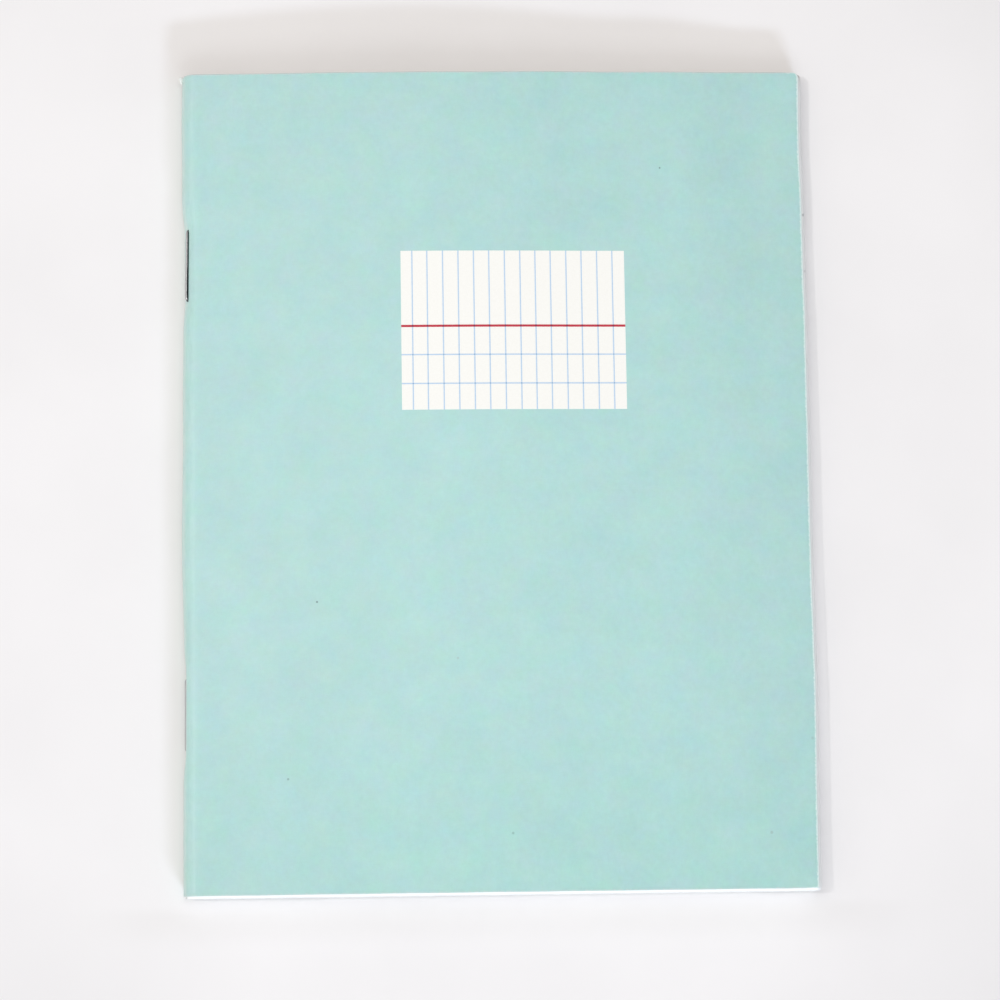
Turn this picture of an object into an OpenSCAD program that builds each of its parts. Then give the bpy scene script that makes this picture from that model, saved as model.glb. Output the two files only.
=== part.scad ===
// Thin exercise notebook with a soft folded card cover, wire-stitched through the fold.
// Millimetres, +Z up. Origin: centre of the back cover's outline, on its outer face.
// The spine is at -X, the fore edge at +X, the head at +Y and the tail at -Y.

/* [Cover] */
// Cover width from the spine fold to the fore edge
cover_w = 106; // [90:1:160]
// Cover height from tail to head
cover_h = 140; // [120:1:210]
// Thickness of the cover card
card_t = 0.3; // [0.2:0.05:0.35]
// Open slit between the held fold strip and each cover panel
slit = 0.4; // [0.35:0.05:0.8]

/* [Pages] */
// Thickness of the closed block of pages at the spine and the fore edge
block_t = 4.0; // [3.6:0.1:6]
// How far the front rises between the spine and the fore edge
bulge = 1.3; // [0.4:0.1:2.5]
// How far the pages stand past the cover at the fore edge
page_fore = 0.3; // [0.1:0.05:0.8]
// How far the pages stand past the cover at the tail
page_tail = 0.35; // [0.1:0.05:0.8]

/* [Staples] */
// Wire diameter
wire_d = 0.6; // [0.5:0.05:0.6]
// Outside length of the crown
crown_l = 12.7; // [10:0.1:14]
// Depth of the dent that the wire presses into the fold
dent = 0.8; // [0.65:0.05:0.85]
// Centre of the upper staple, down from the head
upper_from_head = 33.2; // [20:0.1:45]
// Centre of the lower staple, down from the head
lower_from_head = 109.8; // [80:0.1:112]
// How far round the fold the upper crown sits above the apex, in degrees
upper_lean = 42; // [0:1:45]
// How far round the fold the lower crown sits above the apex, in degrees
lower_lean = 12; // [0:1:45]

/* [Hidden] */
$fn = 96;
fold_ro = (block_t + 2 * card_t) / 2;      // outer radius of the fold
fold_ri = fold_ro - card_t;                // inner radius of the fold
thick = 2 * fold_ro;                       // closed thickness at the spine
panel_x = fold_ro + slit;                  // where both cover panels begin
full_w = cover_w + page_fore;
full_h = cover_h + page_tail;
span = cover_w - fold_ro;                  // chord of the front's curve
arc_r = (span * span / 4 + bulge * bulge) / (2 * bulge);
arc_x = fold_ro + span / 2;
arc_z = thick + bulge - arc_r;             // centre of the front's curve
wire_r = wire_d / 2;
crown_c = fold_ro - dent + wire_r;         // fold centre to crown centre line
line_l = crown_l - wire_d;                 // crown centre line
bend_r = 0.5;                              // centre-line radius of the wire bends
clinch_c = -(wire_r + 0.05);               // clinch centre line, just past the fold centre
clinch_l = 3.8;                            // straight run of each clinched leg
play = 0.05;                               // air round the wire

card = [0.72, 0.865, 0.85];
paper = [0.96, 0.965, 0.95];
steel = [0.5, 0.51, 0.52];

// From the drawing's corner (spine apex, pages' tail, table) to the origin
module placed() {
    translate([-full_w / 2, -full_h / 2, 0]) children();
}

// A profile drawn in X and Z, run along Y from y0 to y1
module along_y(y0, y1) {
    translate([0, y1, 0]) rotate([90, 0, 0]) linear_extrude(height = y1 - y0) children();
}

// Height of the front's outer face at x
function rise(x) = arc_z + sqrt(arc_r * arc_r - (x - arc_x) * (x - arc_x));

// Points of the front's curve from x0 to x1, lowered by d, in flats about 4 mm wide
flats = 26;
function curve(x0, x1, d) = [for (i = [0:flats])
    let (x = i == 0 ? x0 : i == flats ? x1 : fold_ro + (cover_w - fold_ro) * i / flats) [x, rise(x) - d]];
function reversed(list) = [for (i = [len(list) - 1:-1:0]) list[i]];

// Children drawn round the fold centre, outward along -X, turned up by lean and moved to y
module at_fold(y, lean) {
    translate([fold_ro, y, fold_ro]) rotate([0, lean, 0]) children();
}

// The two legs and their clinched ends, with clearance g
module legs(g) {
    r = wire_r + g;
    leg_x0 = -crown_c + bend_r;
    leg_x1 = -clinch_c - bend_r;
    for (s = [-1, 1]) {
        translate([leg_x0, s * line_l / 2, 0]) rotate([0, 90, 0])
            cylinder(r = r, h = leg_x1 - leg_x0);
        // leg to clinched end
        translate([leg_x1, s * (line_l / 2 - bend_r), 0])
            rotate([0, 0, s > 0 ? 0 : 270])
                rotate_extrude(angle = 90) translate([bend_r, 0]) circle(r = r);
        translate([-clinch_c, s * (line_l / 2 - bend_r), 0]) rotate([s > 0 ? 90 : -90, 0, 0])
            cylinder(r = r, h = clinch_l + g);
    }
}

// The whole wire: crown, two bends and the legs
module wire() {
    translate([-crown_c, line_l / 2 - bend_r, 0]) rotate([90, 0, 0])
        cylinder(r = wire_r, h = line_l - 2 * bend_r);
    for (s = [-1, 1]) {
        translate([-crown_c + bend_r, s * (line_l / 2 - bend_r), 0])
            rotate([0, 0, s > 0 ? 90 : 180])
                rotate_extrude(angle = 90) translate([bend_r, 0]) circle(r = wire_r);
    }
    legs(0);
}

// Room round the two bends between crown and legs
module elbows() {
    for (s = [-1, 1]) translate([-crown_c, s * line_l / 2, 0]) rotate([0, 90, 0])
        cylinder(r = wire_r + 2 * play, h = bend_r + 0.1);
}

// The dent under a crown, w from the wire's surface: a round bed that opens outward
module bed(w, half) {
    r = wire_r + w;
    translate([0, half, 0]) rotate([90, 0, 0]) linear_extrude(height = 2 * half) {
        translate([-crown_c, 0]) circle(r = r);
        polygon([[-crown_c, -r], [-crown_c, r], [-fold_ro - 1, r + 0.9], [-fold_ro - 1, -r - 0.9]]);
    }
}

bed_in = crown_l / 2 + 0.15;
bed_out = bed_in + card_t;
upper_y = full_h - upper_from_head;
lower_y = full_h - lower_from_head;

module each_staple() {
    at_fold(upper_y, upper_lean) children();
    at_fold(lower_y, lower_lean) children();
}

module page_block() {
    color(paper) placed() difference() {
        along_y(0, full_h - 0.1) {
            difference() {
                polygon(concat([[full_w, card_t], [card_t, card_t], [card_t, thick - card_t]],
                    curve(fold_ro, full_w, card_t)));
                difference() {
                    square([fold_ro, thick]);
                    translate([fold_ro, fold_ro]) circle(r = fold_ri);
                }
            }
        }
        each_staple() bed(play + card_t, bed_out);
        each_staple() legs(play);
    }
}

module fold_strip() {
    intersection() {
        difference() {
            translate([fold_ro, fold_ro]) circle(r = fold_ro);
            translate([fold_ro, fold_ro]) circle(r = fold_ri);
        }
        square([fold_ro, thick]);
    }
}

module fold_solid() {
    intersection() {
        translate([fold_ro, fold_ro]) circle(r = fold_ro);
        square([fold_ro, thick]);
    }
}

module cover_spine() {
    color(card) placed() difference() {
        union() {
            along_y(page_tail, full_h) fold_strip();
            intersection() {
                along_y(page_tail, full_h) fold_solid();
                each_staple() bed(play + card_t, bed_out);
            }
        }
        each_staple() bed(play, bed_in);
        each_staple() elbows();
        each_staple() legs(play);
    }
}

module front_cover() {
    color(card) placed() along_y(page_tail, full_h)
        polygon(concat(curve(panel_x, cover_w, 0), reversed(curve(panel_x, cover_w, card_t))));
}

module back_cover() {
    color(card) placed() along_y(page_tail, full_h)
        translate([panel_x, 0]) square([cover_w - panel_x, card_t]);
}

module staple_upper() {
    color(steel) placed() at_fold(upper_y, upper_lean) wire();
}

module staple_lower() {
    color(steel) placed() at_fold(lower_y, lower_lean) wire();
}

page_block();
cover_spine();
front_cover();
back_cover();
staple_upper();
staple_lower();
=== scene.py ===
import math

import bpy
import numpy as np
from mathutils import Matrix, Vector

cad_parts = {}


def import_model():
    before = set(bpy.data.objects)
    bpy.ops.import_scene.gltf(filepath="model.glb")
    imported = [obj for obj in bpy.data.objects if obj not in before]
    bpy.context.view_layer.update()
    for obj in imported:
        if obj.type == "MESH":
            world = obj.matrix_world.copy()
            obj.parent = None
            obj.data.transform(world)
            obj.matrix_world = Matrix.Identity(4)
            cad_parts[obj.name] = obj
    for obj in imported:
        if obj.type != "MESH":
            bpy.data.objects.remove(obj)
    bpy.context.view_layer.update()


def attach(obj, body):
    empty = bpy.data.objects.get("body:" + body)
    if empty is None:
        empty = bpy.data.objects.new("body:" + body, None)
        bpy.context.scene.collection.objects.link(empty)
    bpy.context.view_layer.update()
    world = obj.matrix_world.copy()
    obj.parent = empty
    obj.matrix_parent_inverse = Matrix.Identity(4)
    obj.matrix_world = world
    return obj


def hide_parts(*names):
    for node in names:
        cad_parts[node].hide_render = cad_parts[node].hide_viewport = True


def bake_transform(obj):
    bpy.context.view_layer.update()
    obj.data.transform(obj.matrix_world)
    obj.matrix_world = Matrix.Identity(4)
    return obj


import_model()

# ---------------------------------------------------------------- sizes, in millimetres
# Drawing corner: spine apex, pages' tail, table. The same numbers as the CAD source.
W, H, TC, T, R0 = 106.0, 140.0, 0.3, 4.6, 2.3
RISE, FORE, TAIL = 1.3, 0.3, 0.35
RI = R0 - TC
FW, FH = W + FORE, H + TAIL
SPAN = W - R0
ARC_R = (SPAN * SPAN / 4 + RISE * RISE) / (2 * RISE)
ARC_X = R0 + SPAN / 2
ARC_Z = T + RISE - ARC_R
PHI_T = math.radians(87.128)          # where the fold runs into the front's curve
SEAM = math.radians(-58.0)            # where the front half and the back half of the card meet
WIRE_R, LINE_L, BEND_R = 0.3, 12.1, 0.5
# Staples: height up the fold, lean round it, crown's distance from the fold's centre and its sideways
# shift at the lower end and at the upper end, half width of its groove, reach of its dent towards the front
STAPLES = [
    (FH - 33.2, math.radians(35.0), (1.94, 1.80), (-0.11, 0.05), 0.62, 1.7),
    (FH - 109.8, math.radians(3.0), (1.78, 1.78), (0.02, -0.02), 0.5, 1.05),
]
LABEL = (37.06, 81.60, 75.25, 109.05)  # printed panel: x0, y0, x1, y1


def world(p):
    """Drawing millimetres to the row frame in metres."""
    return (np.asarray(p, float) - np.array([FW / 2, FH / 2, 0.0])) * 0.001


def smooth01(t):
    t = np.clip(t, 0.0, 1.0)
    return t * t * (3 - 2 * t)


def rise(x):
    return ARC_Z + np.sqrt(ARC_R ** 2 - (np.asarray(x, float) - ARC_X) ** 2)


def slope(x):
    x = np.asarray(x, float)
    return -(x - ARC_X) / np.sqrt(ARC_R ** 2 - (x - ARC_X) ** 2)


# The fold isn't quite straight: y against how far it lies in from the apex
INSET_Y = [0.0, 9.0, 15.9, 22.7, 43.1, 49.9, 56.8, 63.6, 70.4, 77.2, 84.0, 90.8, 97.7, 118.1, 124.9, 131.7, 140.4]
INSET_D = [0.0, -0.03, 0.02, -0.05, 0.15, -0.02, -0.20, -0.18, -0.08, 0.04, -0.05, 0.08, 0.06, -0.18, -0.04, -0.22, -0.02]


def dent(s, y):
    """How far the fold lies in at unrolled distance s from the apex and height y: staples, then wander."""
    s, y = np.asarray(s, float), np.asarray(y, float)
    out = np.zeros(np.broadcast(s, y).shape)
    for yc, lean, crown, shift, width, ahead in STAPLES:
        t = np.clip((y - yc) / 6.0, -1, 1) * 0.5 + 0.5
        deep = R0 - (crown[0] + (crown[1] - crown[0]) * t) + WIRE_R
        ds = s - R0 * lean - (shift[0] + (shift[1] - shift[0]) * t)
        dy = np.abs(y - yc)
        reach = np.where(ds < 0, 3.2, ahead)
        broad = 0.72 * np.exp(-(np.maximum(0, dy - 5.8) / 3.3) ** 2) * np.exp(-(ds / reach) ** 2)
        end = 1 - smooth01((dy - 5.95) / 0.9)
        groove = 0.28 * np.cos(np.pi / 2 * np.minimum(1, np.abs(ds) / width)) ** 2 * end
        out = out + deep * (broad + groove)
    inset = sum(np.interp(y + d, INSET_Y, INSET_D) for d in (-3.0, -1.5, 0.0, 1.5, 3.0)) / 5
    return out + inset * np.exp(-(s / 2.4) ** 2)


def press(v):
    """The whole book lies a little flatter towards the fore edge, most at its head."""
    v = np.array(v, float)
    x, y = v[:, 0], v[:, 1]
    k = 0.15 * np.exp(-((x - 77.0) / 21.0) ** 2) * (0.35 + 0.65 * smooth01((y - 30.0) / 100.0))
    k = k + 0.17 * smooth01((x - 84.0) / 18.0) * smooth01((y - 60.0) / 70.0)
    k = k - 0.10 * smooth01((x - 80.0) / 26.0) * smooth01((70.0 - y) / 60.0)
    v[:, 2] = v[:, 2] * (1.0 - k * smooth01((x - 8.0) / 25.0))
    return v


def cockle(s, y):
    """Slow waves of the panel, never below the flat state."""
    x = np.asarray(s, float)
    y = np.asarray(y, float)
    w = (
        np.sin(x / 17.0 + y / 31.0 + 0.6)
        + 0.7 * np.sin(x / 29.0 - y / 19.0 + 2.1)
        + 0.5 * np.sin(x / 11.0 + y / 13.0 + 4.0)
    )
    w = 0.018 * (w + 2.2)
    return w * smooth01((x - 6.0) / 14.0)


# The trimmed fore edge wanders a little: y against x
WAVE_Y = [0.35, 1.7, 15.4, 29.1, 36.0, 42.9, 49.7, 63.5, 77.2, 91.0, 97.5, 104.7, 111.0, 118.5, 125.3, 132.0, 139.0, 140.35]
WAVE_X = [-0.22, -0.22, -0.16, 0.08, 0.15, 0.08, 0.0, 0.0, 0.09, 0.13, 0.20, 0.10, 0.12, 0.14, -0.02, 0.0, 0.20, 0.22]


def wave(y):
    y = np.asarray(y, float)
    soft = sum(np.interp(y + d, WAVE_Y, WAVE_X) for d in (-3.0, -1.5, 0.0, 1.5, 3.0)) / 5
    return soft + 0.012 * np.sin(y / 1.7) + 0.008 * np.sin(y / 0.83 + 1.0)


# ---------------------------------------------------------------- mesh helpers
def make_object(name, verts, faces, mats, index, smooth, attrs):
    """verts in drawing millimetres; faces as lists of indices; index and smooth per face."""
    me = bpy.data.meshes.new(name)
    me.from_pydata(world(press(verts)).tolist(), [], faces)
    for m in mats:
        me.materials.append(m)
    me.polygons.foreach_set("material_index", np.asarray(index, np.int32))
    me.polygons.foreach_set("use_smooth", np.asarray(smooth, bool))
    for key, (kind, data) in attrs.items():
        a = me.attributes.new(key, kind, "POINT")
        data = np.asarray(data, np.float32)
        a.data.foreach_set("vector" if kind == "FLOAT_VECTOR" else "value", data.ravel())
    me.update()
    me.validate()
    ob = bpy.data.objects.new(name, me)
    bpy.context.scene.collection.objects.link(ob)
    return ob


def unit(v):
    return v / np.maximum(np.linalg.norm(v, axis=-1, keepdims=True), 1e-12)


def shell_parts(O, I, flat_o, flat_i, bevel=None, base=0):
    """A closed thin shell from an outer grid O and an inner grid I, both (nu, nv, 3).
    bevel is (in-plane, across) for the sides u1, v0 and v1; the side u0 stays square.
    Returns verts, flat coordinates, faces, material index (0 outer, 1 core, 2 inner) and smooth flags."""
    nu, nv = O.shape[:2]
    n = nu * nv
    verts = [O.reshape(-1, 3), I.reshape(-1, 3)]
    flats = [flat_o.reshape(-1, 3), flat_i.reshape(-1, 3)]
    idx = np.arange(n).reshape(nu, nv)
    a, b, c, d = idx[:-1, :-1], idx[1:, :-1], idx[1:, 1:], idx[:-1, 1:]
    outer = np.stack([a, b, c, d], -1).reshape(-1, 4)
    inner = np.stack([d, c, b, a], -1).reshape(-1, 4) + n
    faces = [outer, inner]
    index = [np.zeros(len(outer), int), np.full(len(inner), 2)]
    smooth = [np.ones(len(outer), bool), np.ones(len(inner), bool)]

    def add(quads, mat):
        quads = np.asarray(quads, int).reshape(-1, 4)
        faces.append(quads)
        index.append(np.full(len(quads), mat))
        smooth.append(np.zeros(len(quads), bool))

    if bevel is None:
        loop = [(i, 0) for i in range(nu)] + [(nu - 1, j) for j in range(1, nv)]
        loop += [(i, nv - 1) for i in range(nu - 2, -1, -1)] + [(0, j) for j in range(nv - 2, 0, -1)]
        ob = np.array([idx[i, j] for i, j in loop])
        nx = np.roll(ob, -1)
        add(np.stack([nx, ob, ob + n, nx + n], -1), 1)
    else:
        bi, bn = bevel
        loop = [(i, 0) for i in range(nu)] + [(nu - 1, j) for j in range(1, nv)]
        loop += [(i, nv - 1) for i in range(nu - 2, -1, -1)]
        ob = np.array([idx[i, j] for i, j in loop])
        out = []
        for i, j in loop:
            v = np.zeros(3)
            if j == 0:
                v += unit(O[i, 0] - O[i, 1])
            if j == nv - 1:
                v += unit(O[i, -1] - O[i, -2])
            if i == nu - 1:
                v += unit(O[-1, j] - O[-2, j])
            out.append(v)
        out = np.array(out)
        nor = unit(O.reshape(-1, 3)[ob] - I.reshape(-1, 3)[ob])
        rt = O.reshape(-1, 3)[ob] + bi * out - bn * nor
        rb = I.reshape(-1, 3)[ob] + bi * out + bn * nor
        verts += [rt, rb]
        flats += [flat_o.reshape(-1, 3)[ob], flat_i.reshape(-1, 3)[ob]]
        k = len(loop)
        t0 = 2 * n + np.arange(k)
        b0 = 2 * n + k + np.arange(k)
        for lo, hi, mat in ((ob, t0, 0), (t0, b0, 1), (b0, ob + n, 2)):
            add(np.stack([lo[1:], lo[:-1], hi[:-1], hi[1:]], -1), mat)
        # the square side at u0, with its two small ends
        r = idx[0]
        add(np.stack([r[:-1], r[1:], r[1:] + n, r[:-1] + n], -1), 1)
        add([r[0], r[0] + n, b0[0], t0[0]], 1)
        add([r[-1] + n, r[-1], t0[-1], b0[-1]], 1)
    return (
        np.concatenate(verts),
        np.concatenate(flats),
        np.concatenate(faces) + base,
        np.concatenate(index),
        np.concatenate(smooth),
    )


def rows(lo, hi, step, near, half, fine, edge):
    """Row positions from lo to hi: step apart, fine near each point of near, and closer at both ends."""
    ys = list(np.arange(lo + 2.0, hi - 2.0 + step / 2, step))
    for c in near:
        ys = [y for y in ys if abs(y - c) > half]
        ys += list(np.arange(c - half, c + half + fine / 2, fine))
    for e in edge:
        ys += [lo + e, hi - e]
    ys = sorted(ys)
    keep = [ys[0]]
    for y in ys[1:]:
        if y - keep[-1] > 0.02:
            keep.append(y)
    keep[-1] = ys[-1]
    return np.array(keep)


# ---------------------------------------------------------------- node helpers
def lin(r, g, b):
    """sRGB 0 to 255 as linear RGBA."""
    def f(c):
        c /= 255.0
        return c / 12.92 if c <= 0.04045 else ((c + 0.055) / 1.055) ** 2.4
    return (f(r), f(g), f(b), 1.0)


class Graph:
    def __init__(self, name):
        self.mat = bpy.data.materials.new(name)
        self.mat.use_nodes = True
        self.nt = self.mat.node_tree
        self.nt.nodes.clear()
        self.out = self.nt.nodes.new("ShaderNodeOutputMaterial")
        self.bsdf = self.nt.nodes.new("ShaderNodeBsdfPrincipled")
        self.link(self.bsdf.outputs["BSDF"], self.out.inputs["Surface"])

    def link(self, a, b):
        self.nt.links.new(a, b)

    def put(self, node, key, value):
        s = node.inputs[key]
        if isinstance(value, bpy.types.NodeSocket):
            self.link(value, s)
        else:
            s.default_value = value

    def attr(self, name):
        n = self.nt.nodes.new("ShaderNodeAttribute")
        n.attribute_type = "GEOMETRY"
        n.attribute_name = name
        return n

    def object_coord(self):
        return self.nt.nodes.new("ShaderNodeTexCoord").outputs["Object"]

    def scaled(self, vec, scale, offset=(0, 0, 0)):
        n = self.nt.nodes.new("ShaderNodeMapping")
        self.put(n, "Vector", vec)
        n.inputs["Scale"].default_value = scale
        n.inputs["Location"].default_value = offset
        return n.outputs["Vector"]

    def noise(self, vec, scale, detail=2.0, rough=0.5, distortion=0.0):
        n = self.nt.nodes.new("ShaderNodeTexNoise")
        n.noise_dimensions = "3D"
        self.put(n, "Vector", vec)
        self.put(n, "Scale", scale)
        self.put(n, "Detail", detail)
        self.put(n, "Roughness", rough)
        self.put(n, "Distortion", distortion)
        return n.outputs["Fac"]

    def ramp(self, value, f0, f1, t0, t1, smooth=False):
        n = self.nt.nodes.new("ShaderNodeMapRange")
        n.clamp = True
        n.interpolation_type = "SMOOTHSTEP" if smooth else "LINEAR"
        self.put(n, "Value", value)
        for k, v in (("From Min", f0), ("From Max", f1), ("To Min", t0), ("To Max", t1)):
            self.put(n, k, v)
        return n.outputs["Result"]

    def math(self, op, a, b=None, c=None):
        n = self.nt.nodes.new("ShaderNodeMath")
        n.operation = op
        for i, v in enumerate((a, b, c)):
            if v is not None:
                if isinstance(v, bpy.types.NodeSocket):
                    self.link(v, n.inputs[i])
                else:
                    n.inputs[i].default_value = v
        return n.outputs[0]

    def mix(self, fac, a, b, mode="MIX"):
        n = self.nt.nodes.new("ShaderNodeMix")
        n.data_type = "RGBA"
        n.blend_type = mode
        n.clamp_factor = True
        for key, v in ((0, fac), (6, a), (7, b)):
            if isinstance(v, bpy.types.NodeSocket):
                self.link(v, n.inputs[key])
            else:
                n.inputs[key].default_value = v
        return n.outputs[2]

    def gain(self, colour, value):
        """colour times a grey value."""
        c = self.nt.nodes.new("ShaderNodeCombineColor")
        for k in range(3):
            self.link(value, c.inputs[k])
        return self.mix(1.0, colour, c.outputs[0], "MULTIPLY")

    def split(self, vec):
        n = self.nt.nodes.new("ShaderNodeSeparateXYZ")
        self.link(vec, n.inputs[0])
        return n.outputs

    def away(self, vec, point):
        n = self.nt.nodes.new("ShaderNodeVectorMath")
        n.operation = "DISTANCE"
        self.link(vec, n.inputs[0])
        n.inputs[1].default_value = point
        return n.outputs["Value"]

    def bump(self, height, strength, distance):
        n = self.nt.nodes.new("ShaderNodeBump")
        n.inputs["Strength"].default_value = strength
        n.inputs["Distance"].default_value = distance
        self.link(height, n.inputs["Height"])
        self.link(n.outputs["Normal"], self.bsdf.inputs["Normal"])
        return n


# ---------------------------------------------------------------- materials
CARD_A = (0.405, 0.639, 0.641, 1.0)
CARD_B = (0.405, 0.665, 0.600, 1.0)


def card_print():
    g = Graph("card_aqua_print")
    flat = g.attr("flat").outputs["Vector"]
    edge = g.attr("edge").outputs["Fac"]
    s, y, side = g.split(flat)
    # ink: patches a few millimetres wide of a bluer and a greener aqua, then mottling and fibres
    drift = g.noise(flat, 0.26, 5.0, 0.66)
    col = g.mix(g.ramp(drift, 0.34, 0.66, 0.0, 1.0), CARD_A, CARD_B)
    warm = g.noise(g.scaled(flat, (1, 1, 1), (17, 23, 5)), 0.22, 6.0, 0.70)
    col = g.mix(g.ramp(warm, 0.3, 0.7, 0.0, 1.0), g.mix(1.0, col, (1.058, 0.989, 1.0, 1), "MULTIPLY"),
                g.mix(1.0, col, (0.938, 1.006, 1.0, 1), "MULTIPLY"))
    blot = g.noise(g.scaled(flat, (1, 1, 1), (31, 7, 3)), 0.13, 5.0, 0.68)
    col = g.gain(col, g.ramp(blot, 0.25, 0.75, 0.960, 1.040))
    # painted sheen: lighter and greener down the middle of the sheet, most towards the tail, less towards the head;
    # then painted shade, darker at the tail itself
    painted_sheen_mask = g.math("MULTIPLY", g.ramp(s, 14.0, 48.0, 0.0, 1.0, True), g.ramp(s, 76.0, 104.0, 1.0, 0.3, True))
    painted_sheen_mask = g.math("MULTIPLY", painted_sheen_mask, g.ramp(y, 92.0, 128.0, 1.0, 0.55, True))
    col = g.mix(painted_sheen_mask, col, g.mix(1.0, col, (1.008, 1.028, 1.022, 1), "MULTIPLY"))
    # painted shade: darker towards the tail end of the cover
    col = g.mix(g.ramp(y, 2.0, 36.0, 1.0, 0.0, True), col, g.mix(1.0, col, (0.945, 0.984, 0.966, 1), "MULTIPLY"))
    mott = g.noise(flat, 0.9, 5.0, 0.66)
    col = g.gain(col, g.ramp(mott, 0.25, 0.75, 0.965, 1.033))
    fib_u = g.noise(g.scaled(flat, (0.9, 5.5, 1.0)), 1.0, 4.0, 0.6)
    fib_v = g.noise(g.scaled(flat, (5.5, 0.9, 1.0), (9, 5, 2)), 1.0, 4.0, 0.6)
    fibres = g.math("MULTIPLY", g.math("ADD", fib_u, fib_v), 0.5)
    col = g.gain(col, g.ramp(fibres, 0.3, 0.7, 0.972, 1.026))
    # ink rubbed thin along the shoulder of the fold; the same lightening is also a painted highlight where the fold
    # faces the light from the left
    on_fold = g.math("MULTIPLY", g.ramp(s, -1.5, 0.3, 0.0, 1.0, True), g.ramp(s, 2.3, 4.4, 1.0, 0.0, True))
    rub_and_sheen = g.math("MULTIPLY", on_fold, g.ramp(g.noise(g.scaled(flat, (1.6, 0.25, 1.0)), 1.0, 4.0, 0.65), 0.3, 0.7, 0.06, 0.32))
    col = g.mix(rub_and_sheen, col, lin(206, 236, 232))
    apex = g.math("MULTIPLY", g.ramp(s, -2.2, 0.0, 0.15, 1.0, True), g.ramp(s, 0.9, 2.0, 1.0, 0.0, True))
    scuff = g.noise(g.scaled(flat, (1.3, 0.35, 1.0), (3, 11, 0)), 1.0, 4.0, 0.65)
    col = g.mix(g.math("MULTIPLY", apex, g.ramp(scuff, 0.3, 0.7, 0.15, 0.60)), col, lin(214, 222, 219))
    # trimmed edges: the ink breaks away from the white core
    nick = g.noise(flat, 3.2, 3.0, 0.6)
    reach = g.ramp(nick, 0.30, 0.72, 0.14, 0.44)
    worn = g.ramp(g.math("SUBTRACT", edge, reach), -0.12, 0.10, 1.0, 0.0)
    fore = g.ramp(s, 104.6, 106.6, 0.0, 1.0)
    bare = g.mix(fore, lin(203, 209, 207), lin(224, 236, 233))
    col = g.mix(g.math("MULTIPLY", worn, g.ramp(fore, 0.0, 1.0, 0.65, 0.85)), col, bare)
    # a darker band just inside the trimmed edges, patchy by noise
    edge_darkening = g.ramp(g.math("ABSOLUTE", g.math("SUBTRACT", edge, 0.46)), 0.0, 0.30, 1.0, 0.0)
    edge_darkening = g.math("MULTIPLY", edge_darkening, g.ramp(g.noise(flat, 0.7, 3.0, 0.6), 0.4, 0.62, 0.0, 0.18))
    col = g.mix(edge_darkening, col, lin(150, 182, 177))
    # specks of dirt and pinholes: unrolled place, radius, colour, strength
    for ps, py, r, c, k in SPECKS:
        d = g.away(flat, (ps, py, 1.0))
        col = g.mix(g.math("MULTIPLY", g.ramp(d, r * 0.45, r, 1.0, 0.0), k), col, c)
    g.link(col, g.bsdf.inputs["Base Color"])
    g.link(g.ramp(mott, 0.3, 0.7, 0.43, 0.51), g.bsdf.inputs["Roughness"])
    g.bsdf.inputs["Specular IOR Level"].default_value = 0.82
    height = g.math("ADD", g.math("MULTIPLY", fibres, 1.0), g.math("MULTIPLY", mott, 0.7))
    g.bump(height, 0.35, 0.00003)
    return g.mat


def card_inside():
    g = Graph("card_white_inside")
    flat = g.attr("flat").outputs["Vector"]
    mott = g.noise(flat, 0.5, 5.0, 0.6)
    fib = g.noise(g.scaled(flat, (1.2, 4.5, 1.0)), 1.0, 4.0, 0.6)
    col = g.mix(g.ramp(mott, 0.3, 0.7, 0.0, 1.0), lin(240, 241, 236), lin(247, 247, 243))
    col = g.gain(col, g.ramp(fib, 0.3, 0.7, 0.975, 1.01))
    # a slight yellowing towards the fold
    s = g.split(flat)[0]
    col = g.mix(g.ramp(s, 2.0, 12.0, 0.22, 0.0, True), col, lin(236, 232, 216))
    g.link(col, g.bsdf.inputs["Base Color"])
    g.link(g.ramp(mott, 0.3, 0.7, 0.72, 0.84), g.bsdf.inputs["Roughness"])
    g.bsdf.inputs["Specular IOR Level"].default_value = 0.25
    g.bump(fib, 0.3, 0.00002)
    return g.mat


def card_core():
    g = Graph("card_core_edge")
    flat = g.attr("flat").outputs["Vector"]
    ply = g.noise(g.scaled(flat, (2.0, 2.0, 9.0)), 1.6, 4.0, 0.65)
    col = g.mix(g.ramp(ply, 0.35, 0.68, 0.0, 1.0), lin(224, 231, 228), lin(246, 247, 243))
    g.link(col, g.bsdf.inputs["Base Color"])
    g.link(g.ramp(ply, 0.3, 0.7, 0.78, 0.9), g.bsdf.inputs["Roughness"])
    g.bsdf.inputs["Specular IOR Level"].default_value = 0.2
    g.bump(ply, 0.5, 0.00003)
    return g.mat


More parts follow.
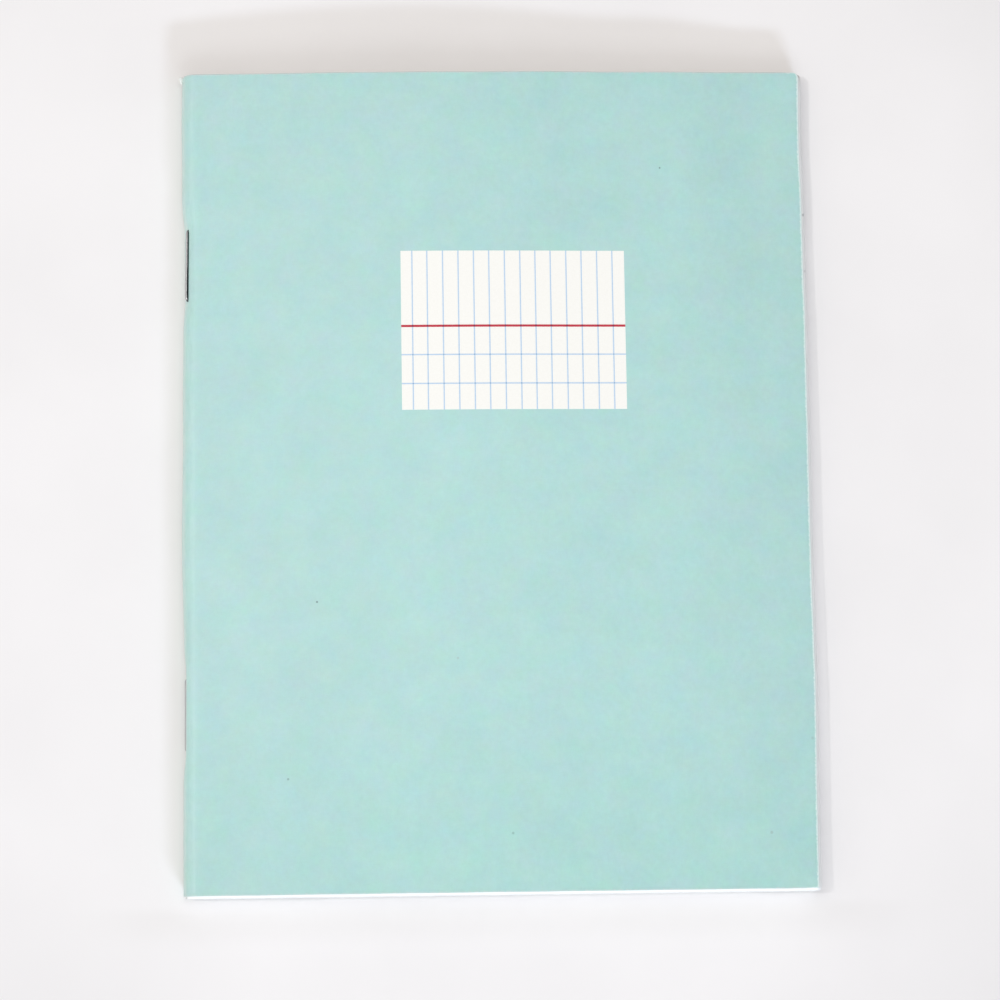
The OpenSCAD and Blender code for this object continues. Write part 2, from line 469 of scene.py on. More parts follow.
def paper(name, lo, hi, edge_lines):
    g = Graph(name)
    flat = g.attr("flat").outputs["Vector"]
    mott = g.noise(flat, 0.35, 5.0, 0.62)
    fib = g.noise(g.scaled(flat, (1.5, 5.0, 1.0)), 1.0, 5.0, 0.62)
    col = g.mix(g.ramp(mott, 0.3, 0.7, 0.0, 1.0), lo, hi)
    col = g.gain(col, g.ramp(fib, 0.3, 0.7, 0.982, 1.01))
    if edge_lines:
        cut = g.noise(g.scaled(flat, (0.4, 3.0, 1.0)), 2.2, 3.0, 0.6)
        col = g.gain(col, g.ramp(cut, 0.35, 0.65, 0.94, 1.0))
    # the first and the last leaf are darkened along the fore edge: painted shade for the narrow margin that shows past
    # the cover's edge
    s, _, layer = g.split(flat)
    fore_margin_shade = g.math("MULTIPLY", g.ramp(g.math("ABSOLUTE", s), 106.50, 106.80, 0.0, 1.0), g.ramp(layer, 0.1, 0.3, 1.0, 0.0))
    col = g.mix(fore_margin_shade, col, g.mix(1.0, col, (0.870, 0.875, 0.890, 1), "MULTIPLY"))
    # painted shadow: a grey spot at the tail end of the fold, for the hollow between the card's fold and the pages
    d = g.away(flat, (0.7, 0.1, 0.4))
    col = g.mix(g.ramp(d, 0.35, 0.85, 0.55, 0.0, True), col, lin(150, 158, 158))
    # a small dark mark on the first leaf's fore edge, and a fainter one further down
    d = g.away(flat, (107.15, 115.5, 0.1))
    col = g.mix(g.ramp(d, 0.12, 0.38, 0.42, 0.0, True), col, lin(94, 102, 104))
    d = g.away(flat, (107.15, 105.6, 0.1))
    col = g.mix(g.ramp(d, 0.12, 0.38, 0.20, 0.0, True), col, lin(94, 102, 104))
    g.link(col, g.bsdf.inputs["Base Color"])
    g.link(g.ramp(fib, 0.3, 0.7, 0.76, 0.88), g.bsdf.inputs["Roughness"])
    g.bsdf.inputs["Specular IOR Level"].default_value = 0.25
    g.bump(fib, 0.3, 0.000015)
    return g.mat


def steel(name, crevice_shade, dull):
    g = Graph(name)
    turn = g.attr("turn").outputs["Fac"]      # degrees round the wire from its outward side
    flat = g.attr("flat").outputs["Vector"]   # distance along the wire, round it
    draw = g.noise(g.scaled(flat, (0.35, 9.0, 1.0)), 1.0, 4.0, 0.6)
    spots = g.noise(flat, 1.1, 4.0, 0.6)
    col = g.mix(g.ramp(draw, 0.3, 0.7, 0.0, 1.0), (0.44, 0.45, 0.46, 1), (0.58, 0.59, 0.60, 1))
    # painted shade and a painted dark reflection on the side that faces the card, for the crevice between the wire and
    # the card
    edge = g.math("ADD", turn, g.math("MULTIPLY", g.math("SUBTRACT", spots, 0.5), 26.0))
    dark = g.math("MULTIPLY", g.ramp(edge, 42.0, 66.0, 0.0, 1.0, True), crevice_shade)
    col = g.mix(dark, col, (0.036, 0.046, 0.050, 1))
    g.link(col, g.bsdf.inputs["Base Color"])
    g.bsdf.inputs["Metallic"].default_value = 1.0
    rough = g.math("ADD", g.ramp(draw, 0.3, 0.7, dull, dull + 0.1), g.math("MULTIPLY", dark, 0.2))
    g.link(rough, g.bsdf.inputs["Roughness"])
    g.bump(draw, 0.3, 0.000008)
    return g.mat


def ink(name, a, b, rough):
    g = Graph(name)
    flat = g.attr("flat").outputs["Vector"]
    n = g.noise(g.scaled(flat, (6.0, 1.6, 1.0)), 1.0, 4.0, 0.65)
    m = g.noise(g.scaled(flat, (1.6, 6.0, 1.0), (4, 4, 4)), 1.0, 4.0, 0.65)
    f = g.math("MULTIPLY", g.math("ADD", n, m), 0.5)
    g.link(g.mix(g.ramp(f, 0.36, 0.64, 0.0, 1.0), a, b), g.bsdf.inputs["Base Color"])
    g.link(g.ramp(f, 0.3, 0.7, rough - 0.06, rough + 0.06), g.bsdf.inputs["Roughness"])
    g.bsdf.inputs["Specular IOR Level"].default_value = 0.28
    g.bump(f, 0.25, 0.00001)
    return g.mat


def floor_material():
    g = Graph("studio_floor")
    co = g.object_coord()
    n = g.noise(co, 30.0, 3.0, 0.5)
    col = g.mix(g.ramp(n, 0.35, 0.65, 0.0, 1.0), lin(238, 236, 235), lin(241, 239, 238))
    # painted shade: a touch darker away from the middle, standing for the light's falloff towards the corners
    col = g.gain(col, g.ramp(g.away(co, (-0.005, 0.012, 0.0)), 0.098, 0.138, 1.0, 0.93, True))
    # painted shade just below the tail, offsetting the light bounced from the page ends; painted light at the foot of
    # the tail and of the fore edge, lifting the shadows there
    x, y, _ = g.split(co)
    tail_shade_band = g.math("MULTIPLY", g.ramp(y, -0.0792, -0.0738, 0.0, 1.0, True), g.ramp(y, -0.0732, -0.0708, 1.0, 0.0, True))
    tail_shade_band = g.math("MULTIPLY", tail_shade_band, g.ramp(g.math("ABSOLUTE", x), 0.046, 0.076, 1.0, 0.0, True))
    col = g.mix(tail_shade_band, col, g.mix(1.0, col, (0.950, 0.948, 0.940, 1), "MULTIPLY"))
    # painted light: lighter at the foot of the tail, over its contact shadow
    foot = g.math("MULTIPLY", g.ramp(y, -0.0710, -0.0704, 0.0, 1.0, True), g.ramp(y, -0.0690, -0.0670, 1.0, 0.0, True))
    foot = g.math("MULTIPLY", foot, g.ramp(g.math("ABSOLUTE", g.math("SUBTRACT", x, 0.006)), 0.032, 0.040, 1.0, 0.0, True))
    col = g.gain(col, g.ramp(foot, 0.0, 1.0, 1.0, 1.075))
    # painted light: lighter beside the fore edge, lifting the shadow there, most a little below the middle
    side = g.math("MULTIPLY", g.ramp(x, 0.0500, 0.0520, 0.0, 1.0, True), g.ramp(x, 0.0552, 0.0560, 1.0, 0.0, True))
    side = g.math("MULTIPLY", side, g.ramp(y, 0.036, 0.050, 1.0, 0.0, True))
    side = g.math("MULTIPLY", side, g.ramp(y, -0.0712, -0.0690, 0.0, 1.0, True))
    low = g.ramp(g.math("ABSOLUTE", g.math("ADD", y, 0.030)), 0.012, 0.024, 1.070, 1.036, True)
    col = g.mix(side, col, g.gain(col, low))
    g.link(col, g.bsdf.inputs["Base Color"])
    g.bsdf.inputs["Roughness"].default_value = 0.85
    g.bsdf.inputs["Specular IOR Level"].default_value = 0.1
    return g.mat


SPECKS = [
    (83.05, 123.6, 0.20, lin(88, 112, 112), 0.75),
    (23.80, 49.1, 0.22, lin(84, 106, 108), 0.84),
    (18.80, 19.5, 0.26, lin(122, 152, 148), 0.72),
    (56.10, 10.1, 0.29, lin(120, 160, 152), 0.58),
    (47.30, 39.4, 0.26, lin(156, 184, 178), 0.60),
    (99.35, 9.7, 0.34, lin(146, 172, 166), 0.55),
    (106.65, 25.4, 0.32, lin(152, 182, 176), 0.50),
]

CARD, INSIDE, CORE = card_print(), card_inside(), card_core()
PAGE = paper("page_paper", lin(243, 243, 239), lin(250, 250, 247), False)
# the cut edges of the leaves are greyer than their faces: partly the rougher cut, partly painted shade for light lost
# in the gaps between the leaves
PAGE_EDGE = paper("page_cut_edge", lin(216, 217, 213), lin(232, 232, 229), True)
# the upper staple carries the full painted crevice shade, the lower only a trace of it
STEEL = steel("staple_steel_crevice_shade", 1.0, 0.26), steel("staple_steel_dull", 0.12, 0.46)

# ---------------------------------------------------------------- the card, front half
EDGE_STEPS = (0.03, 0.10, 0.20, 0.32, 0.48, 0.70, 1.0, 1.45)
Y_ROWS = rows(TAIL, FH, 1.45, [q[0] for q in STAPLES], 9.1, 0.36, EDGE_STEPS)


def chip(s):
    """How far the card's head corner has worn away at the fold, by unrolled distance."""
    s = np.asarray(s, float)
    return 0.14 * np.exp(-((s - 0.4) / 0.9) ** 2)


def corner(d, r):
    """Pull-back of a rounded corner of radius r at distance d from the end."""
    d = np.clip(np.asarray(d, float), 0.0, r)
    return r - np.sqrt(np.maximum(0.0, r * r - (r - d) ** 2))


def front_grid():
    phis = np.radians(np.concatenate([[-58.0, -57.7], np.arange(-55.0, 85.1, 2.5), [86.2]]))
    xs = np.concatenate([
        [R0 - R0 * math.cos(PHI_T)],
        np.arange(2.5, 6.0, 0.35), np.arange(6.2, 103.9, 1.55),
        [104.6, 105.0, 105.3, 105.55, 105.72, 105.86, W - 0.03],
    ])
    sec = [(R0 - R0 * math.cos(p), R0 + R0 * math.sin(p), -math.cos(p), math.sin(p), R0 * p) for p in phis]
    s = R0 * PHI_T
    last = xs[0]
    for x in xs:
        k = slope(x)
        s += (x - last) * math.sqrt(1 + slope((x + last) / 2) ** 2)
        lift = 0.0025 * math.exp(-(x - xs[0]) / 2.0)
        L = math.sqrt(1 + k * k)
        sec.append((x, float(rise(x)) + lift, -k / L, 1 / L, s))
        last = x
    sec = np.array(sec)
    nu, nv = len(sec), len(Y_ROWS)
    x, z, nx, nz, s = [sec[:, k][:, None] * np.ones((1, nv)) for k in range(5)]
    y = np.ones((nu, 1)) * Y_ROWS[None, :]
    # fore edge: wander, and soft corners at head and tail
    edge_x = wave(Y_ROWS) - 1.15 * corner(FH - Y_ROWS, 0.95) - corner(Y_ROWS - TAIL, 0.30)
    ease = smooth01((x - 99.0) / 7.0)
    dx = ease * edge_x[None, :]
    # head and tail: worn corner at the fold, a hint of wander along the trim
    pull = smooth01((y - 137.6) / (FH - 137.6))
    dy = pull * (0.08 * smooth01((s - 18.0) / 14.0) + 0.15 * smooth01((s - 45.0) / 22.0) + 0.12 * smooth01((s - 88.0) / 18.0) - chip(s)) + pull * 0.015 * np.sin(s / 3.1) - smooth01((2.6 - (y - TAIL)) / 2.6) * 0.012 * np.sin(s / 2.3 + 1.0)
    off = cockle(s, y) - dent(s, y)
    # the fore edge lifts a little from the pages towards the head
    off = off + 0.05 * smooth01((s - 95.0) / 12.0) * smooth01((y - 60.0) / 70.0)
    O = np.stack([x + dx + nx * off, y + dy, z + nz * off], -1)
    I = O - TC * np.stack([nx, np.zeros_like(nx), nz], -1)
    flat_o = np.stack([s, y, np.ones_like(s)], -1)
    flat_i = np.stack([s, y, np.zeros_like(s)], -1)
    return O, I, flat_o, flat_i, sec


def edge_distance(flats, s_end):
    e = np.minimum(flats[:, 1] - TAIL, FH - flats[:, 1]) + 0.10
    f = s_end - flats[:, 0] + wave(flats[:, 1]) * 0.0
    return np.minimum(e, f)


O, I, FO, FI, SEC = front_grid()
S_END = float(SEC[-1, 4]) + 0.03
v, f, faces, index, smooth = shell_parts(O, I, FO, FI, (0.03, 0.045))
front = make_object(
    "front_sheet", v, faces.tolist(), [CARD, CORE, INSIDE], index, smooth,
    {"flat": ("FLOAT_VECTOR", f), "edge": ("FLOAT", edge_distance(f, S_END))},
)
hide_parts("front_cover", "cover_spine")
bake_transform(front)
FRONT_OUTER = (SEC[:, 0].copy(), O.copy())


# ---------------------------------------------------------------- the card, back half
def back_grid():
    phis = np.radians(np.concatenate([[-58.0, -58.3], np.arange(-60.5, -89.0, -2.5), [-90.0]]))
    sec = [(R0 - R0 * math.cos(p), R0 + R0 * math.sin(p), -math.cos(p), math.sin(p), R0 * p) for p in phis]
    s0 = -R0 * math.pi / 2
    for x in np.concatenate([np.arange(2.65, 6.0, 0.35), np.arange(6.6, 103.5, 2.9), [104.4, 105.2, 105.6, 105.86, W - 0.03]]):
        sec.append((x, 0.0, 0.0, -1.0, s0 - (x - R0)))
    sec = np.array(sec)
    nu, nv = len(sec), len(Y_ROWS)
    x, z, nx, nz, s = [sec[:, k][:, None] * np.ones((1, nv)) for k in range(5)]
    y = np.ones((nu, 1)) * Y_ROWS[None, :]
    edge_x = 0.6 * wave(Y_ROWS) - corner(FH - Y_ROWS, 0.45) - corner(Y_ROWS - TAIL, 0.35)
    dx = smooth01((x - 99.0) / 7.0) * edge_x[None, :]
    off = -dent(s, y) * smooth01((s + 5.2) / 2.2)
    pull = smooth01((y - 137.6) / (FH - 137.6))
    dy = -pull * chip(s)
    O = np.stack([x + dx + nx * off, y + dy, z + nz * off], -1)
    I = O - TC * np.stack([nx, np.zeros_like(nx), nz], -1)
    flat_o = np.stack([s, y, np.ones_like(s)], -1)
    flat_i = np.stack([s, y, np.zeros_like(s)], -1)
    return O, I, flat_o, flat_i, sec


def flipped(faces):
    return faces[:, ::-1]


O, I, FO, FI, SECB = back_grid()
v, f, faces, index, smooth = shell_parts(O, I, FO, FI, (0.03, 0.045))
fb = f.copy()
fb[:, 0] = -fb[:, 0]
back = make_object(
    "back_sheet", v, flipped(faces).tolist(), [CARD, CORE, INSIDE], index, smooth,
    {"flat": ("FLOAT_VECTOR", f), "edge": ("FLOAT", edge_distance(fb, float(-SECB[-1, 4]) + 0.03))},
)
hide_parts("back_cover")
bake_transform(back)


# ---------------------------------------------------------------- the pages: twenty folded sheets
def sheets():
    rng = np.random.default_rng(7)
    V, F, A, MI, SM = [], [], [], [], []
    base = 0
    leaf = 0.094
    for k in range(20):
        r = RI - 0.1 * k - 0.004
        arc_n = 17 if k < 6 else 11 if k < 13 else 7
        top_n, bot_n = (20, 8) if k < 3 else (13, 6)
        fine = 0.8 if k < 4 else 1.5 if k < 12 else 3.0
        end_top = 106.39 + 0.03 * math.sin(k * 0.7) + rng.normal(0, 0.012)
        end_bot = 106.20 + 0.03 * math.sin(k * 0.5 + 1) + rng.normal(0, 0.012)
        y0 = 0.0 + abs(rng.normal(0, 0.014)) + 0.02 * (k % 3 == 1)
        y1 = FH - 0.1 + rng.normal(0, 0.012)
        ys = rows(y0, y1, 9.0, [q[0] for q in STAPLES], 9.5, fine, (0.0, 0.6))
        bx = np.concatenate([[end_bot, end_bot - 0.6], np.linspace(end_bot - 1.8, R0, bot_n)])
        arc = np.radians(np.linspace(-90, 90, arc_n))
        tx = (np.linspace(0, 1, top_n + 1) ** 1.25 * (end_top - 1.8 - R0) + R0)[1:]
        tx = np.concatenate([tx, [end_top - 0.6, end_top]])
        f_top, f_bot = (2.0 + r) / 4.0, (2.0 - r) / 4.0
        # section points: x, z, outward normal, unrolled distance
        sec = []
        for x in bx[:-1]:
            zt = float(rise(min(x, W))) - TC
            sec.append((x, TC + f_bot * (zt - TC), 0.0, -1.0, -(x - R0) - r * math.pi / 2))
        for p in arc:
            sec.append((R0 - r * math.cos(p), R0 + r * math.sin(p), -math.cos(p), math.sin(p), r * p))
        for x in tx:
            zt = float(rise(min(x, W))) - TC - 0.003
            wob = 0.010 * math.sin(x / 9.0 + k) * (zt - TC - 4.0) / 1.3
            sec.append((x, TC + f_top * (zt - TC) + wob * (k > 0), 0.0, 1.0, (x - R0) + r * math.pi / 2))
        sec = np.array(sec)
        nu, nv = len(sec), len(ys)
        x, z, nx, nz, s = [sec[:, c][:, None] * np.ones((1, nv)) for c in range(5)]
        y = np.ones((nu, 1)) * ys[None, :]
        # the card's own dent, seen at the same angle round the fold
        s_card = np.where(np.abs(s) < r * math.pi / 2 + 1e-6, s * R0 / r, np.sign(s) * (np.abs(s) - r * math.pi / 2 + R0 * math.pi / 2))
        d = dent(s_card, y) * (r / RI)
        top = (nz > 0.99) & (x > R0)
        d = np.where(x > R0, d * np.where(nz > 0, 1.0, 0.0), d)
        d = d + 0.004
        # the trim at the fore edge isn't quite straight
        trim = smooth01((x - 96.0) / 10.0) * (1.0 * wave(y) + 0.02 * np.sin(y / 2.3 + k * 1.9) + 0.012 * np.sin(y / 0.9 + k))
        trim = trim - smooth01((x - 96.0) / 10.0) * (corner(y - y0, 0.25) + corner(y1 - y, 0.25))
        O = np.stack([x + trim - nx * d, y, z - nz * d], -1)
        I = O - leaf * np.stack([nx, np.zeros_like(nx), nz], -1)
        if r - leaf < 0.01:
            I = O - min(leaf, r * 0.9) * np.stack([nx, np.zeros_like(nx), nz], -1)
        fo = np.stack([s + 3.0 * k, y, np.full_like(s, k + 0.0)], -1)
        fi = np.stack([s + 3.0 * k, y, np.full_like(s, k + 0.5)], -1)
        v, f, faces, index, smooth = shell_parts(O, I, fo, fi, None, base)
        base += len(v)
        V.append(v); F.append(faces); A.append(f)
        MI.append(np.where(index == 1, 1, 0)); SM.append(smooth)
    return np.concatenate(V), np.concatenate(F), np.concatenate(A), np.concatenate(MI), np.concatenate(SM)


v, faces, f, index, smooth = sheets()
pages = make_object("pages", v, faces.tolist(), [PAGE, PAGE_EDGE], index, smooth, {"flat": ("FLOAT_VECTOR", f)})
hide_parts("page_block")
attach(pages, "block")


# ---------------------------------------------------------------- the staples
def wire_path(crown, shift, foot):
    """Centre line in (outward u, along y, sideways w)."""
    pts = []
    half = LINE_L / 2
    u_l = -(WIRE_R + 0.05)

    def arc(cu, cy, a0, a1, n):
        for a in np.radians(np.linspace(a0, a1, n)):
            pts.append((cu + BEND_R * math.cos(a), cy + BEND_R * math.sin(a), 0.0))

    # lower clinch, up its leg, along the crown, down the upper leg to its clinch
    for y in np.linspace(-half + BEND_R + 3.8, -half + BEND_R, 8)[:-1]:
        pts.append((u_l, y, 0.0))
    arc(u_l + BEND_R, -half + BEND_R, 180, 270, 7)
    for u in np.linspace(u_l + BEND_R, crown[0] - BEND_R, 6)[1:-1]:
        pts.append((u, -half, foot))
    arc(crown[0] - BEND_R, -half + BEND_R, -90, 0, 8)
    for y in np.linspace(-half + BEND_R, half - BEND_R, 40)[1:-1]:
        t = y / (half - BEND_R) * 0.5 + 0.5
        pts.append((crown[0] + (crown[1] - crown[0]) * t + 0.012 * math.sin(9.0 * t), y,
                    shift[0] + (shift[1] - shift[0]) * t + 0.012 * math.sin(13.0 * t)))
    arc(crown[1] - BEND_R, half - BEND_R, 0, 90, 8)
    for u in np.linspace(crown[1] - BEND_R, u_l + BEND_R, 6)[1:-1]:
        pts.append((u, half, 0.0))
    arc(u_l + BEND_R, half - BEND_R, 90, 180, 7)
    for y in np.linspace(half - BEND_R, half - BEND_R - 3.8, 8)[1:]:
        pts.append((u_l, y, 0.0))
    return np.array(pts)


def wire_mesh(name, yc, lean, crown, shift, foot, metal):
    p = wire_path(crown, shift, foot)
    # soften the sideways step where the crown meets its bends
    w = p[:, 2].copy()
    for _ in range(9):
        w[1:-1] = (w[:-2] + 2 * w[1:-1] + w[2:]) / 4
    p[:, 2] = w
    seg = np.linalg.norm(np.diff(p, axis=0), axis=1)
    run = np.concatenate([[0], np.cumsum(seg)])
    tan = unit(np.gradient(p, axis=0))
    side = np.array([0.0, 0.0, 1.0])
    n_side = 20
    V, A, TURN = [], [], []
    for k in range(len(p)):
        t = tan[k]
        e2 = unit(side - t * (side @ t))
        e1 = np.cross(e2, t)                       # away from the bends' inside
        r = WIRE_R
        if k in (0, len(p) - 1):
            r = WIRE_R * 0.86
        for m in range(n_side):
            a = 2 * math.pi * m / n_side
            # drawn wire, slightly flattened by the former
            q = p[k] + r * (0.985 * math.cos(a) * e1 + 1.0 * math.sin(a) * e2)
            V.append(q)
            A.append((run[k], m / n_side * 2.0, 0.0))
            TURN.append(0.0)
    V = np.array(V)
    # place: u points outward from the fold's centre at the given lean, w turns towards the front
    cl, sl = math.cos(lean), math.sin(lean)
    out = np.array([-cl, 0.0, sl])
    up = np.array([sl, 0.0, cl])
    P = np.array([R0, yc, R0]) + V[:, :1] * out + V[:, 1:2] * np.array([0, 1.0, 0]) + V[:, 2:3] * up
    # angle of each point round the wire, measured in the (outward, up) plane
    cen = np.repeat(p, n_side, axis=0)
    rel = V - cen
    TURN = np.degrees(np.arctan2(rel[:, 2], rel[:, 0]))
    legs = np.abs(cen[:, 1]) > LINE_L / 2 - 0.25
    TURN = np.where(legs, 60.0, TURN)
    nk = len(p)
    idx = np.arange(nk * n_side).reshape(nk, n_side)
    faces = []
    for k in range(nk - 1):
        for m in range(n_side):
            m2 = (m + 1) % n_side
            faces.append([idx[k, m], idx[k, m2], idx[k + 1, m2], idx[k + 1, m]])
    faces.append(idx[0][::-1].tolist())
    faces.append(idx[-1].tolist())
    smooth = [True] * (len(faces) - 2) + [False, False]
    ob = make_object(name, P, [list(map(int, q)) for q in faces], [metal], [0] * len(faces), smooth,
                     {"flat": ("FLOAT_VECTOR", np.array(A)), "turn": ("FLOAT", TURN)})
    return ob


for name, node, staple, foot, metal in (
    ("wire_upper", "staple_upper", STAPLES[0], 0.12, STEEL[0]),
    ("wire_lower", "staple_lower", STAPLES[1], 0.0, STEEL[1]),
):
    ob = wire_mesh(name, *staple[:4], foot, metal)
    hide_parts(node)
    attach(ob, "block")

# ---------------------------------------------------------------- printed name panel with its ruling
LABEL_PAPER = ink("panel_white", lin(244, 243, 236), lin(249, 248, 242), 0.55)
INK_BLUE = ink("rule_blue", lin(176, 202, 228), lin(192, 215, 236), 0.55)
INK_BLUE_X = ink("rule_blue_crossing", lin(128, 166, 202), lin(146, 182, 212), 0.55)
INK_RED = ink("rule_red", lin(184, 44, 60), lin(200, 60, 76), 0.55)
INK_RED_X = ink("rule_red_crossing", lin(122, 40, 66), lin(140, 54, 80), 0.55)


def front_point(x, y):
    """Point and normal of the front's outer face at rest, read off the same grid as the card."""
    sx, grid = FRONT_OUTER
    i = int(np.clip(np.searchsorted(sx, x) - 1, 0, len(sx) - 2))
    j = int(np.clip(np.searchsorted(Y_ROWS, y) - 1, 0, len(Y_ROWS) - 2))
    a = (x - sx[i]) / (sx[i + 1] - sx[i])
    b = (y - Y_ROWS[j]) / (Y_ROWS[j + 1] - Y_ROWS[j])
    p00, p10, p01, p11 = grid[i, j], grid[i + 1, j], grid[i, j + 1], grid[i + 1, j + 1]
    p = (1 - a) * (1 - b) * p00 + a * (1 - b) * p10 + (1 - a) * b * p01 + a * b * p11
    n = unit(np.cross(p10 - p00, p01 - p00))
    return p, n


def panel():
    x0, y0, x1, y1 = LABEL
    blue_x = [1.93, 4.48, 7.15, 9.78, 12.42, 15.02, 17.69, 20.33, 22.91, 25.52, 28.20, 30.81, 33.49, 36.11]
    hor = [(13.03, 0.40, "red"), (17.98, 0.22, "blue"), (22.95, 0.22, "blue")]
    xs = [(x0, 0)]
    for b in blue_x:
        xs += [(x0 + b - 0.11, 1), (x0 + b + 0.11, 0)]
    xs.append((x1, 0))
    # split the long rows so that the panel follows the card
    ys = []
    cuts = sorted([(y1 - d - w / 2, y1 - d + w / 2, c) for d, w, c in hor])
    prev = y0
    for lo, hi, c in cuts:
        n = max(1, int(round((lo - prev) / 1.4)))
        ys += [(t, None) for t in np.linspace(prev, lo, n + 1)[:-1]]
        ys.append((lo, c))
        prev = hi
    n = max(1, int(round((y1 - prev) / 1.4)))
    ys += [(t, None) for t in np.linspace(prev, y1, n + 1)]
    nx_, ny_ = len(xs), len(ys)
    top, bot, flat = [], [], []
    for xv, _ in xs:
        for yv, _ in ys:
            p, nrm = front_point(xv, yv)
            top.append(p + nrm * 0.011)
            bot.append(p + nrm * 0.0015)
            flat.append((xv, yv, 0.0))
    n = nx_ * ny_
    V = np.array(top + bot)
    A = np.array(flat + [(a, b, 0.5) for a, b, _ in flat])
    idx = np.arange(n).reshape(nx_, ny_)
    faces, index = [], []
    for i in range(nx_ - 1):
        for j in range(ny_ - 1):
            vert, hz = xs[i][1] == 1, ys[j][1]
            m = 0
            if vert and hz == "red":
                m = 4
            elif vert and hz == "blue":
                m = 2
            elif vert or hz == "blue":
                m = 1
            elif hz == "red":
                m = 3
            faces.append([idx[i, j], idx[i + 1, j], idx[i + 1, j + 1], idx[i, j + 1]])
            index.append(m)
            faces.append([idx[i, j + 1] + n, idx[i + 1, j + 1] + n, idx[i + 1, j] + n, idx[i, j] + n])
            index.append(0)
    loop = [idx[i, 0] for i in range(nx_)] + [idx[-1, j] for j in range(1, ny_)]
    loop += [idx[i, -1] for i in range(nx_ - 2, -1, -1)] + [idx[0, j] for j in range(ny_ - 2, 0, -1)]
    for a, b in zip(loop, loop[1:] + loop[:1]):
        faces.append([b, a, a + n, b + n])
        index.append(0)
    return make_object("name_panel", V, [list(map(int, q)) for q in faces],
                       [LABEL_PAPER, INK_BLUE, INK_BLUE_X, INK_RED, INK_RED_X], index, [False] * len(faces),
                       {"flat": ("FLOAT_VECTOR", A)})


label = panel()
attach(label, "front")


# ---------------------------------------------------------------- a torn flake of the card's core at the head of the fold
def flake():
    nu, nv = 9, 9
    V, A = [], []
    for layer in (0, 1):
        for i in range(nu):
            for j in range(nv):
                a, b = i / (nu - 1), j / (nv - 1)      # a: from the fold outward, b: from low to head
                reach = 0.66 * (0.42 + 0.58 * b ** 0.7) * (1 - 0.22 * max(0.0, b - 0.75) / 0.25)
                x = 0.16 - (0.16 + reach) * a
                y = 139.10 + 1.14 * b + 0.10 * a * (b - 0.3) + 0.03 * math.sin(9 * a + 2 * b)
                z = 2.70 + 0.30 * math.sin(2.2 * a) + 0.06 * math.sin(3 * b)
                th = 0.16 * (1 - 0.6 * a)
                V.append((x, y, z - (th if layer else 0.0)))
                A.append((x, y, float(layer)))
    n = nu * nv
    idx = np.arange(n).reshape(nu, nv)
    faces = []
    for i in range(nu - 1):
        for j in range(nv - 1):
            a, b, c, d = idx[i, j], idx[i + 1, j], idx[i + 1, j + 1], idx[i, j + 1]
            faces += [[d, c, b, a], [a + n, b + n, c + n, d + n]]
    loop = [idx[i, 0] for i in range(nu)] + [idx[-1, j] for j in range(1, nv)]
    loop += [idx[i, -1] for i in range(nu - 2, -1, -1)] + [idx[0, j] for j in range(nv - 2, 0, -1)]
    for a, b in zip(loop, loop[1:] + loop[:1]):
        faces.append([a, b, b + n, a + n])
    return make_object("fold_flake", np.array(V), [list(map(int, q)) for q in faces], [CORE], [0] * len(faces),
                       [True] * len(faces), {"flat": ("FLOAT_VECTOR", np.array(A))})


fl = flake()
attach(fl, "block")

# ---------------------------------------------------------------- stage, light, camera
me = bpy.data.meshes.new("floor")
S = 3.0
me.from_pydata([(-S, -S, 0), (S, -S, 0), (S, S, 0), (-S, S, 0)], [], [(0, 1, 2, 3)])
me.materials.append(floor_material())
floor = bpy.data.objects.new("floor", me)
bpy.context.scene.collection.objects.link(floor)
floor.location.z = -0.00002

w = bpy.data.worlds.new("studio")
bpy.context.scene.world = w
w.use_nodes = True
nt = w.node_tree
nt.nodes.clear()
wo = nt.nodes.new("ShaderNodeOutputWorld")
bg = nt.nodes.new("ShaderNodeBackground")
tc = nt.nodes.new("ShaderNodeTexCoord")
dot = nt.nodes.new("ShaderNodeVectorMath")
dot.operation = "DOT_PRODUCT"
dot.inputs[1].default_value = (-0.46, -0.32, 0.0)   # brighter from the spine side and from the tail
nt.links.new(tc.outputs["Generated"], dot.inputs[0])
mr = nt.nodes.new("ShaderNodeMath")
mr.operation = "MULTIPLY_ADD"
nt.links.new(dot.outputs["Value"], mr.inputs[0])
mr.inputs[1].default_value = 0.575
mr.inputs[2].default_value = 0.575
nt.links.new(mr.outputs[0], bg.inputs["Strength"])
# warmer from the head side
tone = nt.nodes.new("ShaderNodeMapRange")
tone.inputs["From Min"].default_value = -1.0
tone.inputs["From Max"].default_value = 1.0
xyz = nt.nodes.new("ShaderNodeSeparateXYZ")
nt.links.new(tc.outputs["Generated"], xyz.inputs[0])
nt.links.new(xyz.outputs["Y"], tone.inputs["Value"])
hue = nt.nodes.new("ShaderNodeMix")
hue.data_type = "RGBA"
hue.inputs[6].default_value = (0.99, 1.0, 1.0, 1)
hue.inputs[7].default_value = (1.08, 0.99, 0.935, 1)
nt.links.new(tone.outputs["Result"], hue.inputs[0])
nt.links.new(hue.outputs[2], bg.inputs["Color"])
nt.links.new(bg.outputs[0], wo.inputs[0])


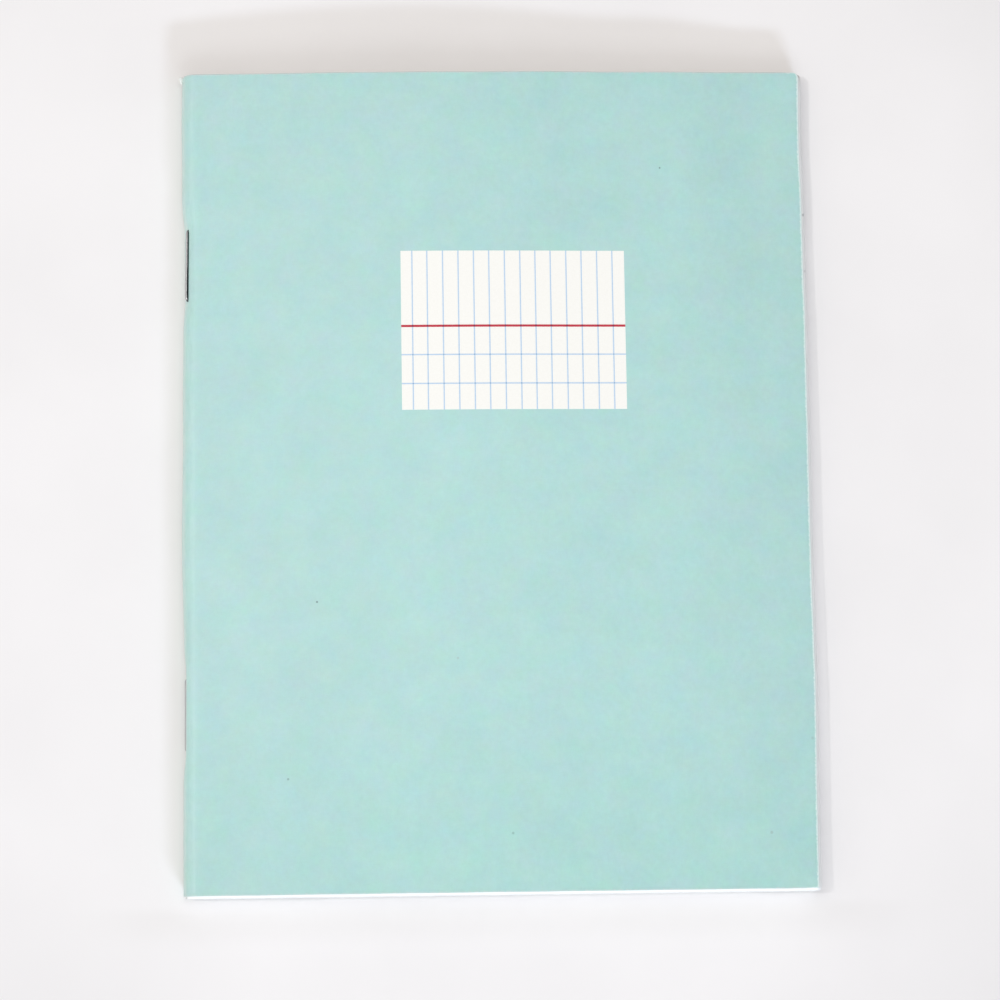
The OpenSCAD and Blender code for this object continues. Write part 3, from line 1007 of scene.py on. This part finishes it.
def panel_light(name, at, target, floor_e, size, colour=(1, 1, 1)):
    """A soft rectangular light aimed at target; floor_e is the light it puts on the floor there, in W/m2."""
    d = bpy.data.lights.new(name, "AREA")
    d.shape = "RECTANGLE"
    d.size, d.size_y = size
    v = Vector(at) - Vector(target)
    d.energy = floor_e / (v.z / v.length) * math.pi * v.length ** 2
    d.color = colour
    o = bpy.data.objects.new(name, d)
    bpy.context.scene.collection.objects.link(o)
    o.location = at
    o.rotation_mode = "QUATERNION"
    o.rotation_quaternion = v.to_track_quat("Z", "Y")
    o.visible_camera = False
    return o


def polar(azimuth, elevation, distance):
    """Azimuth in degrees from -Y towards +X."""
    a, e = math.radians(azimuth), math.radians(elevation)
    return (math.sin(a) * math.cos(e) * distance, -math.cos(a) * math.cos(e) * distance, math.sin(e) * distance)


panel_light("key", polar(20.0, 23.0, 1.6), (0, 0, 0), 0.45, (0.45, 0.10), (0.84, 0.97, 1.19))
panel_light("side", polar(-90.0, 63.0, 1.2), (0, 0, 0), 0.40, (0.07, 0.07))
panel_light("fill", polar(4.0, 42.0, 1.4), (0, 0, 0), 0.22, (0.60, 0.50), (0.96, 0.99, 1.05))
panel_light("overhead", (-0.043, 0.064, 0.42), (-0.043, 0.064, 0.0), 0.52, (0.20, 0.20))

cam_d = bpy.data.cameras.new("camera")
cam = bpy.data.objects.new("camera", cam_d)
bpy.context.scene.collection.objects.link(cam)
cam_d.sensor_width = 36.0
cam_d.sensor_fit = "HORIZONTAL"
cam_d.lens = 122.4
cam_d.clip_start, cam_d.clip_end = 0.01, 20.0
AZ, TILT, ROLL = -0.0444352, 0.1455028, -0.0082420
rot = (
    Matrix.Rotation(ROLL, 3, "Z") @ Matrix.Rotation(TILT, 3, "X") @ Matrix.Rotation(AZ, 3, "Y")
)
cam.matrix_world = Matrix.Translation((-0.0259000, -0.0869200, 0.5722901)) @ rot.to_4x4()
bpy.context.scene.camera = cam

bpy.context.scene.view_settings.view_transform = "Standard"
bpy.context.scene.view_settings.look = "None"
bpy.context.scene.view_settings.exposure = 0.0
bpy.context.scene.view_settings.gamma = 1.0
